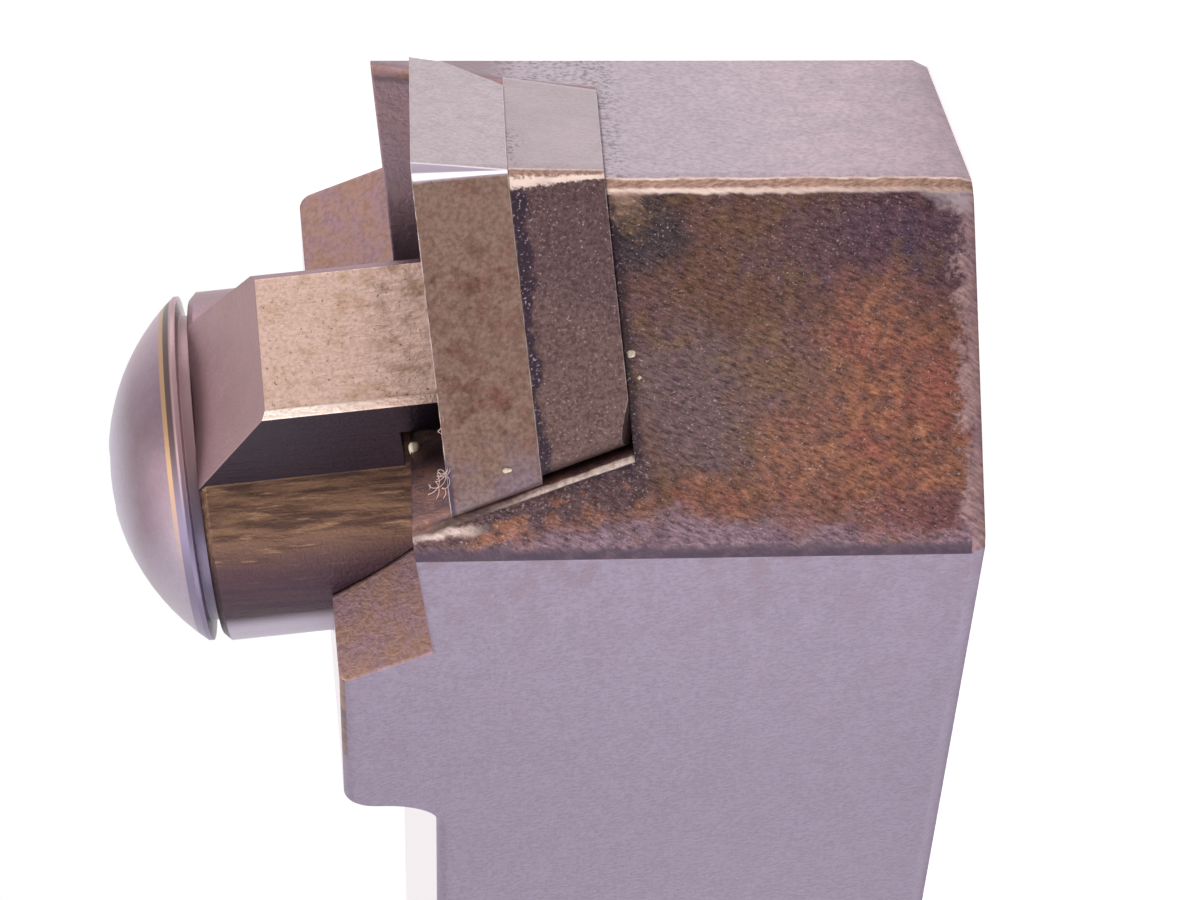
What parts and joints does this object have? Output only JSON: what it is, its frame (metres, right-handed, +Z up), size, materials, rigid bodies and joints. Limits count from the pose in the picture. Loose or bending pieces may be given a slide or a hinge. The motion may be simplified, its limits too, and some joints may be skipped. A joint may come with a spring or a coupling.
{
  "type": "turning tool holder",
  "caption": "Square-shank turning tool holder with a square carbide insert held point-forward under a hub-and-finger clamp and a domed screw.",
  "frame": {"origin": "under the middle of the overall length, on the shank's base", "axes": "+X along the shank towards the cutting corner, +Z up from the base"},
  "size_m": [0.1142, 0.019, 0.03],
  "materials": {
    "holder_steel": "ground flanks, oily brown end face with rust spots",
    "insert_carbide": "ground carbide, pitted and chipped",
    "shim_carbide": "sintered carbide, dark and dirty",
    "screw_steel": "turned and worn smooth",
    "clamp_steel": "hardened steel, golden brown and pitted on the front",
    "spring_steel": "drawn spring wire"
  },
  "bodies": {
    "holder": {"holder_body": "holder_steel", "shim": "shim_carbide", "shim_screw": "screw_steel", "insert": "insert_carbide", "clamp_spring": "spring_steel"},
    "clamp": {"clamp": "clamp_steel"},
    "clamp_screw": {"clamp_screw": "screw_steel"}
  },
  "joints": [
    {"name": "clamp_lift", "type": "slide", "parent": "holder", "child": "clamp", "axis": [-0.0698, 0, 0.9976], "range_m": [0, 0.003], "deforming": ["clamp_spring"]},
    {"name": "screw_turn", "type": "hinge", "parent": "clamp", "child": "clamp_screw", "pos_m": [0.03441, 0, 0.02695], "axis": [-0.0698, 0, 0.9976], "range_deg": [0, 1080]}
  ],
  "couplings": [
    {"joint": "screw_turn", "follows": "clamp_lift", "rad_per_m": 6283.2}
  ]
}
